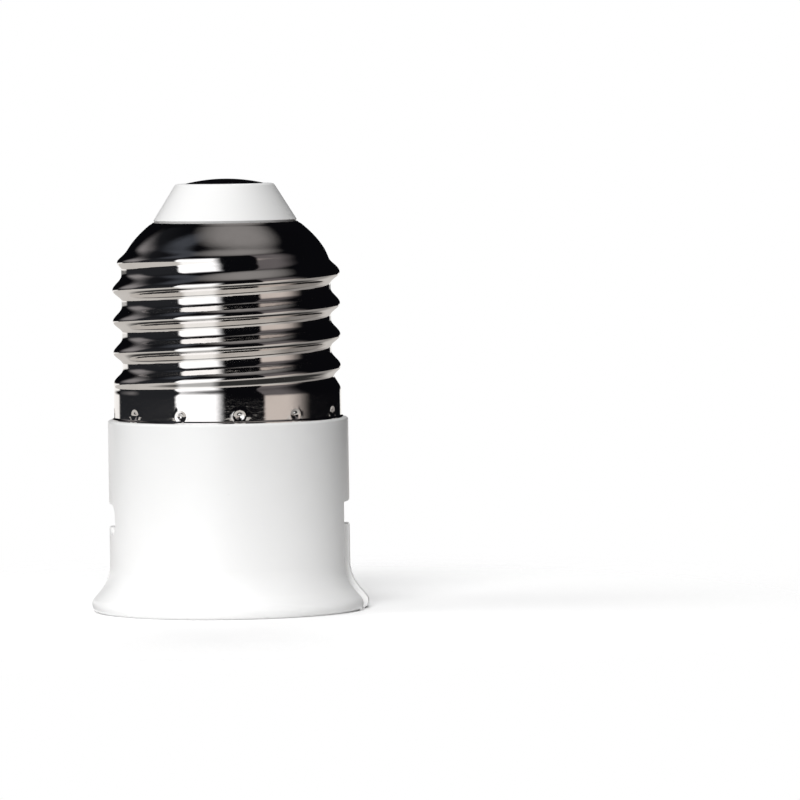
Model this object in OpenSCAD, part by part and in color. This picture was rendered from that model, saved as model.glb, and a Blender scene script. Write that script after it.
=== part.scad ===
// Lamp socket adapter: an Edison screw cap at the top and a bayonet lamp socket at the bottom.
// It stands on its mouth. The origin is the centre of the mouth plane and +Z runs up to the tip contact.

/* [Housing] */
// Radius of the lamp bore
bore_r = 11.5; // [11.3:0.05:11.7]
// Wall of the straight body round the bore
body_wall = 2.45; // [2.2:0.05:3]
// Height of the body, from the mouth to the seat of the screw shell
body_h = 22.2; // [21:0.1:23]
// How far the flange stands out from the body
flange_out = 2.15; // [1.8:0.05:3]
// Radius of the flange's rounded rim
rim_r = 1.0; // [0.6:0.05:1.2]
// Height at which the flange is widest
rim_z = 0.85; // [0.6:0.05:1.2]
// Height at which the flare leaves the body
flare_h = 5.4; // [5:0.1:6.5]
// Radius of the hollow flare, as a share of the radius that would leave no straight between it and the rim
flare_share = 0.94; // [0.7:0.01:0.99]
// How far the mouth is wider than the bore
lead_in = 2.3; // [1.5:0.1:2.7]
// Height of the conical lead-in
lead_in_h = 3.0; // [2:0.1:4]
// Height up to which the bore is straight
guide_top = 13.2; // [13:0.1:15]
// Height of the ledge at the deep end of the bore, above the body
ledge_rise = 2.3; // [2.2:0.1:3]
// How far the lip above the ledge stands in from the bore
lip_in = 0.6; // [0.5:0.1:1]
// Thickness of the lip
lip_h = 1.0; // [0.8:0.1:1.5]
// Wall of the neck inside the screw shell
neck_wall = 1.15; // [0.9:0.05:1.3]

/* [Bayonet slots] */
// Width of a slot where a lamp pin enters
slot_w = 2.8; // [2.3:0.1:3.2]
// Lower edge of the channel that a pin turns along
channel_z = 9.8; // [9.5:0.1:10.2]
// Height of the channel
channel_h = 2.7; // [2.3:0.1:3]
// Angle from a slot to its pocket
slot_turn = 24; // [20:1:35]
// Radius of the pocket that a pin drops back into
pocket_r = 1.45; // [1.2:0.05:1.5]
// Height of the pocket's centre
pocket_z = 10.5; // [10.3:0.1:10.8]

/* [Contact carrier] */
// How far the rim that lies on the neck stays inside the neck's edge
carrier_rim_in = 0.35; // [0.3:0.05:0.6]
// Thickness of the rim
carrier_rim_h = 0.6; // [0.5:0.1:0.8]
// Gap between the carrier's disc and the roots of the screw shell's thread
carrier_gap = 0.43; // [0.3:0.01:0.8]
// Thickness of the disc with its rim
carrier_h = 1.8; // [1.5:0.1:2.5]
// Gap between a boss and the lip
boss_gap = 1.2; // [1:0.1:1.4]
// Radius of a boss
boss_r = 4.2; // [4:0.1:4.4]
// Height of a boss below the disc
boss_h = 6.5; // [6:0.1:7]
// Thickness of the boss's nose, which stops the plunger's collar
nose_h = 2.0; // [1.5:0.1:2.5]
// Radius of a spring chamber
chamber_r = 2.85; // [2.7:0.05:2.9]
// Radius of the chamber's tube behind the disc
tube_r = 3.6; // [3.4:0.1:3.8]
// Height of the tube behind the disc
tube_h = 3.3; // [3:0.1:4]
// Radius of a screw pad
pad_r = 2.2; // [2:0.1:2.4]
// Height of a screw pad below the disc
pad_h = 4.0; // [3.5:0.1:5]
// Gap between a screw pad and the lip
pad_gap = 2.5; // [2.3:0.1:2.7]
// Angle from a boss to its screw pad
pad_turn = 55; // [50:1:60]

/* [Plungers and springs] */
// Radius of a plunger's shaft
plunger_r = 1.95; // [1.8:0.05:2.1]
// How far a plunger stands out of its boss
plunger_reach = 5.4; // [4.8:0.1:6]
// Thickness of the collar
collar_h = 1.2; // [0.8:0.1:1.5]
// Radius of the tail inside the spring
tail_r = 1.1; // [0.8:0.1:1.3]
// Length of the tail
tail_h = 2.5; // [1.5:0.1:3]
// How far a plunger is pressed in at its stop
plunger_travel = 4.2; // [3.5:0.1:4.5]
// Diameter of the spring wire
wire_d = 0.45; // [0.3:0.05:0.5]
// Number of coils
coils = 6.5; // [5:0.5:8]

/* [Terminals] */
// Thickness of a terminal plate
terminal_h = 0.6; // [0.4:0.1:1]
// Radius of the plate over a spring chamber
terminal_r = 3.4; // [3.2:0.1:3.6]
// Length of a terminal screw under its head
screw_l = 5.5; // [5:0.1:6]
// Radius of a terminal screw
screw_r = 1.1; // [0.9:0.05:1.2]
// Radius of a terminal screw's head
screw_head_r = 1.9; // [1.7:0.05:2]
// Height of a terminal screw's head
screw_head_h = 1.2; // [1:0.1:1.5]
// Thickness of the strip that reaches the screw shell
strip_h = 0.3; // [0.2:0.05:0.5]
// Width of the strip
strip_w = 3.0; // [2.4:0.1:3.2]
// Length of the strip's leg along the screw shell
strip_leg_h = 5.0; // [4:0.1:6]
// Diameter of the insulated lead to the tip contact
lead_d = 1.5; // [1:0.1:2]

/* [Screw shell] */
// Thickness of the sheet
sheet = 0.3; // [0.25:0.01:0.35]
// Gap between the neck and the plain skirt
neck_gap = 0.25; // [0.15:0.05:0.4]
// Depth of the thread
thread_depth = 1.07; // [0.8:0.01:1.1]
// Rise of the thread in one turn
thread_pitch = 3.629; // [3.5:0.001:3.7]
// Share of the pitch over which a crest falls to the groove above it
upper_share = 0.48; // [0.4:0.01:0.5]
// Share of the pitch over which it falls to the groove below it
lower_share = 0.36; // [0.3:0.01:0.5]
// Height of the shell
shell_h = 22.8; // [22.5:0.1:24]
// Height of the plain skirt
skirt_h = 3.0; // [2.9:0.1:3.6]
// Height over which the lowest groove runs in from the skirt
run_in_h = 2.6; // [2:0.1:3]
// Height over which the highest ridge fades on the shoulder
fade_h = 2.6; // [1.2:0.1:3]
// Height of the shoulder over the thread
shoulder_h = 5.1; // [4.6:0.1:5.6]
// How far the shoulder leads in from the thread's roots
shoulder_drop = 3.68; // [3.4:0.01:3.9]
// Width of the shell's edge round the tip insulator
edge_w = 0.85; // [0.7:0.05:1.1]
// Number of stake marks round the skirt
stakes = 12; // [8:1:16]
// Height of the stake marks above the shell's lower edge
stake_z = 0.8; // [0.8:0.05:1.2]
// Radius of a stake mark
stake_r = 0.45; // [0.4:0.05:0.6]
// Depth of a stake mark
stake_depth = 0.22; // [0.15:0.01:0.3]

/* [Tip] */
// Height of the insulating cone
cone_h = 4.45; // [3.5:0.05:5]
// Width of the step between the shell's top edge and the cone
cone_step = 0.15; // [0.1:0.05:0.3]
// How far the cone leads in from its base to its top
cone_fall = 2.65; // [2.3:0.05:3]
// Wall of the cone
cone_wall = 1.5; // [1.2:0.1:2]
// Width of the cone's rim round the tip contact
tip_rim_w = 1.05; // [0.8:0.05:1.4]
// Height of the tip contact's dome
dome_h = 0.55; // [0.4:0.05:1]
// How deep the tip contact is let into the cone
contact_inset = 0.6; // [0.4:0.05:0.8]
// Radius of the tip contact's stem
stem_r = 1.2; // [1:0.05:1.4]
// Length of the stem under the contact
stem_l = 3.6; // [3:0.1:4]

/* [Hidden] */
$fn = 64;

// Sides of arcs in an outline, and of swept wires
arc_steps = 10;
wire_sides = 6;
coil_steps = 12;
lead_sides = 8;
lead_steps = 16;
// Overrun of every cut
over = 0.5;
// Radial gap round the plungers, and between pieces that are only placed together
slide_gap = 0.1;
loose_gap = 0.2;

// Small sizes of the housing
bore_taper = 0.15;
body_edge_r = 0.3;
stake_groove_depth = 0.25;
stake_groove_h = 1.4;
key_w = 3;
key_h = 1.0;
key_depth = 0.75;

// Small sizes of the pieces inside
pillar_r = 2.0;
screw_hole_r = screw_r + slide_gap / 2;
hole_spare = 0.6;
tip_flat_r = 1.05;
tip_round_h = 0.8;
tail_chamfer = 0.3;
tab_l = 5.2;
tab_w = 1.8;
tab_turn = 60;
recess_w = 0.5;
recess_l = 2.2;
recess_depth = 0.6;
head_edge = 0.35;
strip_gap = 0.33;

// Small sizes of the shell and the tip
foot_flare = 0.22;
foot_h = 0.2;
snap_out = 0.25;
snap_h = 0.45;
spigot_h = 1.2;
cone_edge = 0.25;
cone_round = 0.55;
web_h = 1.4;
rivet_head_r = 2.0;
rivet_head_h = 0.4;
// How the shoulder's fall is shared between a straight slope and a curve
slope_share = 0.21;
// Angle about the axis at which a crest stands, and its height above the body
crest_turn = 168;
crest_rise = 15.0;
// How far below the shoulder the highest ridge starts to fade
ridge_short = 0.4;
// Turn of the stake marks from the X axis
stake_turn = 23.8;
// Columns of the shell between two stake marks, and its rows of points
column_shares = [0, 0.07, 0.36, 0.64, 0.93];
rows_per_turn = 6;
shoulder_steps = 4;
foot_share = 0.75;

// Places worked out from the sizes
body_r = bore_r + body_wall;
flange_r = body_r + flange_out;
mouth_r = bore_r + lead_in;
lip_r = bore_r - lip_in;
bore_end_r = bore_r - bore_taper;
neck_r = bore_r + neck_wall;
key_inner_r = neck_r - key_depth;
thread_r = neck_r + neck_gap + sheet;
root_r = thread_r - thread_depth;
shell_top_r = root_r - shoulder_drop;
opening_r = shell_top_r - edge_w;
spigot_r = opening_r - slide_gap;
snap_r = opening_r + snap_out;
cone_base_r = shell_top_r - cone_step;
cone_top_r = cone_base_r - cone_fall;
contact_r = cone_top_r - tip_rim_w;
carrier_rim_r = neck_r - carrier_rim_in;
carrier_r = root_r - sheet - carrier_gap;
strip_r = root_r - sheet - strip_gap;
contact_y = lip_r - boss_r - boss_gap;
pad_ring_r = lip_r - pad_r - pad_gap;
slot_start = -slot_turn;
ledge_z = body_h + ledge_rise;
floor_z = ledge_z + lip_h;
// The flare meets the body upright, and a short straight joins it to the rim
rim_out = flange_out - rim_r;
flare_dz = flare_h - rim_z;
flare_r = flare_share * (rim_out * rim_out + flare_dz * flare_dz - rim_r * rim_r) / (2 * flange_out);
flare_dr = flare_r - rim_out;
flare_turn = atan2(flare_dz, flare_dr) - acos((rim_r + flare_r) / norm([flare_dr, flare_dz]));
boss_face_z = floor_z - boss_h;
seat_z = boss_face_z + nose_h;
disc_top_z = floor_z + carrier_h;
tube_top_z = disc_top_z + tube_h;
terminal_top_z = tube_top_z + terminal_h;
collar_r = chamber_r - slide_gap;
collar_top_z = seat_z + collar_h;
tip_z = boss_face_z - plunger_reach;
pad_angle = 90 - pad_turn;
pad_x = pad_ring_r * cos(pad_angle);
pad_y = pad_ring_r * sin(pad_angle);
ear_turn = atan2(pad_y - contact_y, pad_x);
ear_reach = norm([pad_x, pad_y - contact_y]);
shell_top_z = body_h + shell_h;
skirt_top_z = body_h + skirt_h;
shoulder_z = shell_top_z - shoulder_h;
crest_z = body_h + crest_rise;
ridge_end_z = shoulder_z - ridge_short;
row_h = thread_pitch / rows_per_turn;
thread_rows = floor((ridge_end_z + fade_h - skirt_top_z) / row_h);
thread_top_z = skirt_top_z + thread_rows * row_h;
cone_top_z = shell_top_z + cone_h;
contact_seat_z = cone_top_z - contact_inset;
stem_end_z = contact_seat_z - stem_l;

// Points on an arc in an outline
function arc(x, z, r, from, to) =
    [for (i = [0:arc_steps]) let(a = from + (to - from) * i / arc_steps) [x + r * cos(a), z + r * sin(a)]];

// Eases from 0 to 1 as t goes from 0 to 1
function ease(t) = let(c = min(1, max(0, t))) c * c * (3 - 2 * c);

// Two triangles between four neighbours of a mesh, cut along one diagonal or the other
function cell(a, b, c, d, rising) = rising ? [[a, c, d], [a, d, b]] : [[a, c, b], [b, c, d]];

// A mesh between rings of points, open at the ends or joined into a loop
function ring_faces(rings, sides, loop, rising_rings = 0) =
    [for (i = [0:rings - (loop ? 1 : 2)]) for (j = [0:sides - 1])
        let(near = i * sides, far = ((i + 1) % rings) * sides, next = (j + 1) % sides)
        each cell(near + j, near + next, far + j, far + next, i < rising_rings)];

module swept(rings, sides) {
    last = (len(rings) - 1) * sides;
    caps = [[for (j = [0:sides - 1]) j], [for (j = [sides - 1:-1:0]) last + j]];
    polyhedron([for (ring = rings) each ring], concat(ring_faces(len(rings), sides, false), caps), convexity = 10);
}

// Places a shape at each of the two contacts, half a turn apart
module at_contact(half_turns) {
    rotate([0, 0, 180 * half_turns]) children();
}

module tube(outer_r, inner_r, z0, z1) {
    translate([0, 0, z0]) difference() {
        cylinder(r = outer_r, h = z1 - z0);
        translate([0, 0, -over]) cylinder(r = inner_r, h = z1 - z0 + 2 * over);
    }
}

// The housing's section: flange, flare, body, neck, lip, bore and lead-in
function housing_outline() = concat(
    [[mouth_r, 0]],
    arc(flange_r - rim_r, rim_z, rim_r, -asin(min(1, rim_z / rim_r)), flare_turn),
    arc(body_r + flare_r, flare_h, flare_r, 180 + flare_turn, 180),
    arc(body_r - body_edge_r, body_h - body_edge_r, body_edge_r, 0, 90),
    [[neck_r, body_h],
     [neck_r, body_h + stake_z - stake_groove_h / 2],
     [neck_r - stake_groove_depth, body_h + stake_z - stake_groove_h / 2],
     [neck_r - stake_groove_depth, body_h + stake_z + stake_groove_h / 2],
     [neck_r, body_h + stake_z + stake_groove_h / 2],
     [neck_r, floor_z],
     [lip_r, floor_z],
     [lip_r, ledge_z],
     [bore_end_r, ledge_z],
     [bore_r, guide_top],
     [bore_r, lead_in_h]]);

// One bayonet slot: the way in, the channel and the rounded pocket at its end
module bayonet_slot() {
    reach = flange_r + over;
    inner = lip_r - over;
    rotate([0, 0, slot_start]) translate([inner, -slot_w / 2, -over])
        cube([reach - inner, slot_w, channel_z + channel_h + over]);
    rotate([0, 0, slot_start]) rotate_extrude(angle = slot_turn)
        translate([inner, channel_z]) square([reach - inner, channel_h]);
    translate([inner, 0, channel_z + channel_h / 2]) rotate([0, 90, 0])
        cylinder(r = channel_h / 2, h = reach - inner);
    translate([inner, 0, pocket_z]) rotate([0, 90, 0])
        cylinder(r = pocket_r, h = reach - inner);
}

// Notch in the neck for a key of the contact carrier
module key_notch() {
    translate([key_inner_r, -key_w / 2, floor_z - key_h])
        cube([neck_r - key_inner_r + over, key_w, key_h + over]);
}

module housing() {
    color("white") difference() {
        rotate_extrude($fn = 128) polygon(housing_outline());
        for (i = [0, 1]) at_contact(i) {
            bayonet_slot();
            key_notch();
        }
    }
}

module carrier_key() {
    intersection() {
        tube(carrier_rim_r, key_inner_r + loose_gap, floor_z - key_h + loose_gap, floor_z + carrier_rim_h);
        translate([0, -key_w / 2 + loose_gap, 0])
            cube([carrier_rim_r, key_w - 2 * loose_gap, floor_z + carrier_rim_h]);
    }
}

module contact_carrier() {
    screw_hole_z = terminal_top_z + strip_h - screw_l - hole_spare;
    color("whitesmoke") difference() {
        union() {
            translate([0, 0, floor_z]) cylinder(r = carrier_rim_r, h = carrier_rim_h);
            translate([0, 0, floor_z]) cylinder(r = carrier_r, h = carrier_h);
            for (i = [0, 1]) at_contact(i) {
                translate([0, contact_y, boss_face_z]) cylinder(r = boss_r, h = boss_h + carrier_h / 2);
                translate([0, contact_y, floor_z]) cylinder(r = tube_r, h = carrier_h + tube_h);
                translate([pad_x, pad_y, floor_z - pad_h]) cylinder(r = pad_r, h = pad_h + carrier_h / 2);
                translate([pad_x, pad_y, floor_z]) cylinder(r = pillar_r, h = carrier_h + tube_h);
                carrier_key();
            }
        }
        for (i = [0, 1]) at_contact(i) {
            translate([0, contact_y, boss_face_z - over]) cylinder(r = plunger_r + slide_gap, h = nose_h + 2 * over);
            translate([0, contact_y, seat_z]) cylinder(r = chamber_r, h = tube_top_z - seat_z + over);
            translate([pad_x, pad_y, screw_hole_z]) cylinder(r = screw_hole_r, h = tube_top_z - screw_hole_z + over);
        }
    }
}

// A plunger's section: rounded tip, shaft, collar and the tail inside the spring
function plunger_outline() = concat(
    [[0, tip_z]],
    [for (i = [0:arc_steps]) let(a = 90 * i / arc_steps)
        [tip_flat_r + (plunger_r - tip_flat_r) * sin(a), tip_z + tip_round_h * (1 - cos(a))]],
    [[plunger_r, seat_z],
     [collar_r, seat_z],
     [collar_r, collar_top_z],
     [tail_r, collar_top_z],
     [tail_r, collar_top_z + tail_h - tail_chamfer],
     [tail_r - tail_chamfer, collar_top_z + tail_h],
     [0, collar_top_z + tail_h]]);

module plunger() {
    color("peru") translate([0, contact_y, 0]) rotate_extrude() polygon(plunger_outline());
}

// Height of the spring wire after a number of turns: closed at both ends and open between
function coil_z(turns, low, high) =
    let(closed = min(turns, 1) + max(0, turns - coils + 1),
        open = min(max(turns - 1, 0), coils - 2))
    low + wire_d * closed + (high - low - 2 * wire_d) * open / (coils - 2);

module spring() {
    mean_r = collar_r - wire_d / 2 - loose_gap;
    low = collar_top_z + wire_d / 2;
    high = tube_top_z - wire_d / 2;
    rings = [for (i = [0:coils * coil_steps])
        let(a = 360 * i / coil_steps, z = coil_z(i / coil_steps, low, high))
        [for (j = [0:wire_sides - 1])
            let(b = 360 * j / wire_sides, r = mean_r + wire_d / 2 * cos(b))
            [r * cos(a), contact_y + r * sin(a), z + wire_d / 2 * sin(b)]]];
    color("silver") swept(rings, wire_sides);
}

// Outline of a terminal plate: a disc over the chamber, an ear for the screw and a tab for a lead
module terminal_outline() {
    translate([0, contact_y]) {
        circle(r = terminal_r);
        rotate(ear_turn) translate([0, -pillar_r]) square([ear_reach, 2 * pillar_r]);
        rotate(90 + tab_turn) translate([0, -tab_w / 2]) square([tab_l, tab_w]);
    }
    translate([pad_x, pad_y]) circle(r = pillar_r);
}

module terminal() {
    color("goldenrod") translate([0, 0, tube_top_z]) difference() {
        linear_extrude(terminal_h) terminal_outline();
        translate([pad_x, pad_y, -over]) cylinder(r = screw_hole_r, h = terminal_h + 2 * over);
    }
}

// A pan-head screw with a crossed recess, its head resting at the given height
module terminal_screw(rest_z) {
    color("lightgray") translate([pad_x, pad_y, rest_z]) difference() {
        rotate_extrude() polygon([
            [0, -screw_l],
            [screw_r - head_edge, -screw_l],
            [screw_r, -screw_l + head_edge],
            [screw_r, 0],
            [screw_head_r, 0],
            [screw_head_r, screw_head_h - 2 * head_edge],
            [screw_head_r - head_edge, screw_head_h - head_edge],
            [screw_head_r - 3 * head_edge, screw_head_h],
            [0, screw_head_h]]);
        for (a = [0, 90]) rotate([0, 0, a])
            translate([-recess_l / 2, -recess_w / 2, screw_head_h - recess_depth])
                cube([recess_l, recess_w, recess_depth + over]);
    }
}

// The strip lies on terminal_b under its screw and its leg stands against the screw shell
module shell_strip() {
    low = terminal_top_z;
    color("goldenrod") at_contact(1) rotate([0, 0, pad_angle]) difference() {
        union() {
            translate([pad_ring_r - pillar_r, -strip_w / 2, low])
                cube([strip_r - pad_ring_r + pillar_r, strip_w, strip_h]);
            translate([strip_r - strip_h, -strip_w / 2, low])
                cube([strip_h, strip_w, strip_leg_h]);
        }
        translate([pad_ring_r, 0, low - over]) cylinder(r = screw_hole_r, h = strip_h + 2 * over);
    }
}

// The lead's route: a Bezier curve from the tab of terminal_a up to the tip contact's stem
function between(a, b, t) = a + (b - a) * t;
function curve(p, t) = len(p) == 1 ? p[0] : curve([for (i = [0:len(p) - 2]) between(p[i], p[i + 1], t)], t);

module centre_lead() {
    tab_reach = tab_l - tab_w / 2;
    start = [-tab_reach * sin(tab_turn), contact_y + tab_reach * cos(tab_turn), terminal_top_z];
    end = [0, 0, stem_end_z];
    rise = [0, 0, (stem_end_z - terminal_top_z) / 2];
    route = [start, start + rise, end - rise, end];
    side = [end[1] - start[1], start[0] - end[0], 0] / norm([end[1] - start[1], start[0] - end[0]]);
    rings = [for (i = [0:lead_steps])
        let(t = i / lead_steps, near = 1 / lead_steps / 4,
            ahead = curve(route, min(1, t + near)) - curve(route, max(0, t - near)),
            along = ahead / norm(ahead), out = cross(side, along))
        [for (j = [0:lead_sides - 1])
            let(b = -360 * j / lead_sides)
            curve(route, t) + lead_d / 2 * (cos(b) * side + sin(b) * out)]];
    color("crimson") swept(rings, lead_sides);
}

function part_of(x) = x - floor(x);

// Height above the nearest crest at an angle about the axis, as a share of the pitch
function over_crest(turn, z) =
    part_of((z - crest_z) / thread_pitch - (turn - crest_turn) / 360 + lower_share) - lower_share;

// The thread's ridge: 1 on a crest and 0 in a groove, with the lower flank steeper than the upper one
function ridge(turn, z) =
    let(rise = over_crest(turn, z), fall = rise > 0 ? rise / upper_share : -rise / lower_share)
    (1 + cos(180 * min(1, fall))) / 2;

// The screw shell's outer radius at a height and an angle about the axis
function shoulder_at(z) = max(0, (z - shoulder_z) / shoulder_h);
function shoulder_fall(u) = shoulder_drop * (slope_share * u + (1 - slope_share) * u * u);
function shoulder_slope(u) =
    u == 0 ? 0 : shoulder_drop / shoulder_h * (slope_share + 2 * (1 - slope_share) * u);
function thread_at(turn, z) =
    let(run_in = ease((z - skirt_top_z) / run_in_h), left = 1 - ease((z - ridge_end_z) / fade_h))
    thread_depth * left * (1 - run_in * (1 - ridge(turn, z)));
function foot_at(z) = z < body_h + foot_h ? foot_flare : 0;
function shell_r(turn, z) = root_r - shoulder_fall(shoulder_at(z)) + thread_at(turn, z) + foot_at(z);
function inner_r(turn, z) = shell_r(turn, z) - sheet * norm([1, shoulder_slope(shoulder_at(z))]);

// Rows of points up the shell. Those in the thread climb with it, so that a row lies on every crest.
foot_rows = [body_h, body_h + foot_h * foot_share, body_h + foot_h];
stake_rows = [for (s = [-1, 0, 1]) body_h + stake_z + s * stake_r];
middle_row = [(body_h + stake_z + stake_r + skirt_top_z) / 2];
shoulder_rows = [for (i = [1:shoulder_steps]) between(thread_top_z, shell_top_z, i / shoulder_steps)];
stake_row = len(foot_rows) + 1;
function climb(turn) = part_of((crest_z - skirt_top_z + thread_pitch * (turn - crest_turn) / 360) / row_h);
function column(turn) = concat(foot_rows, stake_rows, middle_row,
    [for (i = [0:thread_rows - 1]) skirt_top_z + row_h * (i + climb(turn))], shoulder_rows);
function stake_at(side, row) = side % len(column_shares) == 0 && row == stake_row ? stake_depth : 0;
function at_turn(r, turn, z) = [r * cos(turn), r * sin(turn), z];

module screw_shell() {
    turns = [for (i = [0:stakes - 1]) for (s = column_shares) stake_turn + 360 * (i + s) / stakes];
    sides = len(turns);
    columns = [for (turn = turns) column(turn)];
    top = len(columns[0]) - 1;
    outer = [for (i = [0:top]) [for (c = [0:sides - 1])
        let(z = columns[c][i]) at_turn(shell_r(turns[c], z) - stake_at(c, i), turns[c], z)]];
    lip = [for (z = [shell_top_z, shell_top_z - sheet]) [for (turn = turns) at_turn(opening_r, turn, z)]];
    inner = [for (i = [top - 1:-1:0]) [for (c = [0:sides - 1])
        let(z = columns[c][i]) at_turn(inner_r(turns[c], z) - stake_at(c, i), turns[c], z)]];
    rings = concat(outer, lip, inner);
    color("silver") polyhedron([for (ring = rings) each ring],
        ring_faces(len(rings), sides, true, len(outer)), convexity = 10);
}

// The cone's section: a rounded top with a seat for the contact, and a snap bead inside the shell
function insulator_outline() =
    let(lean = atan2(cone_base_r - cone_top_r, cone_h - cone_edge), inside = spigot_r - cone_wall)
    concat(
    [[inside, shell_top_z - spigot_h],
     [spigot_r - snap_h / 2, shell_top_z - spigot_h],
     [snap_r, shell_top_z - sheet - snap_h],
     [snap_r, shell_top_z - sheet - slide_gap],
     [spigot_r, shell_top_z - sheet - slide_gap],
     [spigot_r, shell_top_z],
     [cone_base_r - cone_edge / 2, shell_top_z],
     [cone_base_r, shell_top_z + cone_edge]],
    arc(cone_top_r - cone_round / 2, cone_top_z - cone_round, cone_round, lean, 90),
    [[contact_r + slide_gap / 2, cone_top_z],
     [contact_r + slide_gap / 2, contact_seat_z],
     [stem_r + slide_gap / 2, contact_seat_z],
     [stem_r + slide_gap / 2, contact_seat_z - web_h],
     [cone_top_r - cone_wall, contact_seat_z - web_h],
     [inside, shell_top_z]]);

module tip_insulator() {
    color("white") rotate_extrude($fn = 96) polygon(insulator_outline());
}

// The contact's section: a shallow dome, its rim in the cone, and a stem headed under the web
module centre_contact() {
    dome_r = (contact_r * contact_r + dome_h * dome_h) / (2 * dome_h);
    dome_turn = asin(contact_r / dome_r);
    head_z = contact_seat_z - web_h;
    color("silver") rotate_extrude($fn = 96) polygon(concat(
        arc(0, cone_top_z + dome_h - dome_r, dome_r, 90, 90 - dome_turn),
        [[contact_r, contact_seat_z],
         [stem_r, contact_seat_z],
         [stem_r, head_z],
         [rivet_head_r, head_z],
         [rivet_head_r, head_z - rivet_head_h],
         [stem_r, head_z - rivet_head_h],
         [stem_r, stem_end_z],
         [0, stem_end_z]]));
}

housing();
contact_carrier();
at_contact(0) plunger();  // plunger_a
at_contact(1) plunger();  // plunger_b
at_contact(0) spring();  // spring_a
at_contact(1) spring();  // spring_b
at_contact(0) terminal();  // terminal_a
at_contact(1) terminal();  // terminal_b
at_contact(0) terminal_screw(terminal_top_z);  // terminal_screw_a
at_contact(1) terminal_screw(terminal_top_z + strip_h);  // terminal_screw_b
shell_strip();
centre_lead();
screw_shell();
tip_insulator();
centre_contact();
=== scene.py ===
from math import acos, asin, atan2, copysign, cos, degrees, hypot, pi, radians, sin, sqrt, tan

import bmesh
import bpy
from mathutils import Matrix, Vector
from mathutils.geometry import delaunay_2d_cdt


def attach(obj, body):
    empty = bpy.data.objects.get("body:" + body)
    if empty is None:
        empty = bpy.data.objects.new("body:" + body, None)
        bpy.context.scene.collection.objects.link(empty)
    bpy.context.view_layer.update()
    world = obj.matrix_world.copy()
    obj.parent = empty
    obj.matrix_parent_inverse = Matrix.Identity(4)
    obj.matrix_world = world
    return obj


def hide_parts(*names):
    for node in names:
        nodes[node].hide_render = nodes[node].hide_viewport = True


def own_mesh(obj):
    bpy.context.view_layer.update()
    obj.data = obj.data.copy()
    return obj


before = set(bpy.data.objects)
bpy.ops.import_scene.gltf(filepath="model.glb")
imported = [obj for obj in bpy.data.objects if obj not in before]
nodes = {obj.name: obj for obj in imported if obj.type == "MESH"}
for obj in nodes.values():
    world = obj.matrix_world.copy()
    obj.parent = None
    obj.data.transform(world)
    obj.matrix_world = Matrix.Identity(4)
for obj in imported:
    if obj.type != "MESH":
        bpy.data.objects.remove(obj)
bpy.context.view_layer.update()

# Sizes of the part, in millimetres, as its source has them
MM = 0.001
BODY_R, BODY_H, FLANGE_R, RIM_R, RIM_Z = 13.95, 22.2, 16.1, 1.0, 0.85
FLARE_H, FLARE_R, BORE_R, MOUTH_R, LEAD_IN_H = 5.4, 4.596, 11.5, 13.8, 3.0
GUIDE_TOP, LEDGE_Z, BORE_END_R, LIP_R, LIP_H, NECK_R = 13.2, 24.5, 11.35, 10.9, 1.0, 12.65
NECK_TOP_Z = LEDGE_Z + LIP_H
TOP_EDGE_R = 0.3
GROOVE_LOW, GROOVE_HIGH, GROOVE_DEPTH = 0.1, 1.5, 0.25
KEY_HALF_W, KEY_DEPTH, KEY_R = 1.5, 1, 11.9
SLOT_W, CHANNEL_Z, CHANNEL_H, SLOT_TURN, POCKET_R, POCKET_Z = 2.8, 9.8, 2.7, 24, 1.45, 10.5
CONTACT_Y, PLUNGER_R, TIP_Z, SEAT_Z, COLLAR_R = 5.5, 1.95, 13.6, 21.0, 2.75
COLLAR_TOP_Z, TAIL_R, TAIL_H, TUBE_TOP_Z = 22.2, 1.1, 2.5, 30.6
TIP_FLAT_R, TIP_ROUND_H, TURNED_EDGE = 1.05, 0.8, 0.08
WIRE_D, COILS, SPRING_MEAN_R = 0.45, 6.5, 2.325
SHEET, THREAD_R, THREAD_DEPTH, PITCH = 0.3, 13.2, 1.07, 3.629
SHELL_H, SKIRT_H, SHOULDER_H, SHELL_TOP_R, OPENING_R = 22.8, 3.0, 5.1, 8.45, 7.6
RUN_H = 2.6  # height over which the thread runs in, and over which it runs out
CREST_TURN, CREST_Z, RIDGE_END_Z, SLOPE_SHARE = 168, 37.2, 39.5, 0.21
UPPER_SHARE, LOWER_SHARE = 0.48, 0.36  # shares of the pitch over which a crest falls, above and below
ROOT_SHIFT = 0.5 - (1 - UPPER_SHARE + LOWER_SHARE) / 2
STAKES, STAKE_TURN, STAKE_Z, STAKE_DEPTH = 12, 23.8, 0.8, 0.22
DENT_REACH = 0.58  # from a stake mark's middle to where its dent ends
RING_RISE, RING_W = 0.03, 0.6  # the swell round a dent: its height, and its width as a share of DENT_REACH
FOOT_FLARE, FOOT_EDGE_H, FOOT_FADE_H = 0.22, 0.12, 0.14
CONE_H, CONE_BASE_R, CONE_TOP_R, CONE_WALL, CONE_EDGE_R = 4.45, 8.3, 5.65, 1.5, 0.55
SPIGOT_R, SPIGOT_L, SPIGOT_END_R, BEAD_R = 7.5, 1.2, 7.275, 7.85
CONTACT_R, DOME_H, INSET, STEM_R, STEM_L, WEB_H = 4.6, 0.55, 0.6, 1.2, 3.6, 1.4
RIVET_R, RIVET_H, CONTACT_PLAY = 2.0, 0.4, 0.05
SHELL_TOP_Z = BODY_H + SHELL_H
SKIRT_TOP_Z = BODY_H + SKIRT_H
SHOULDER_Z = SHELL_TOP_Z - SHOULDER_H
ROOT_R = THREAD_R - THREAD_DEPTH
CONE_TOP_Z = SHELL_TOP_Z + CONE_H
CONTACT_SEAT_Z = CONE_TOP_Z - INSET
STEM_END_Z = CONTACT_SEAT_Z - STEM_L


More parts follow.
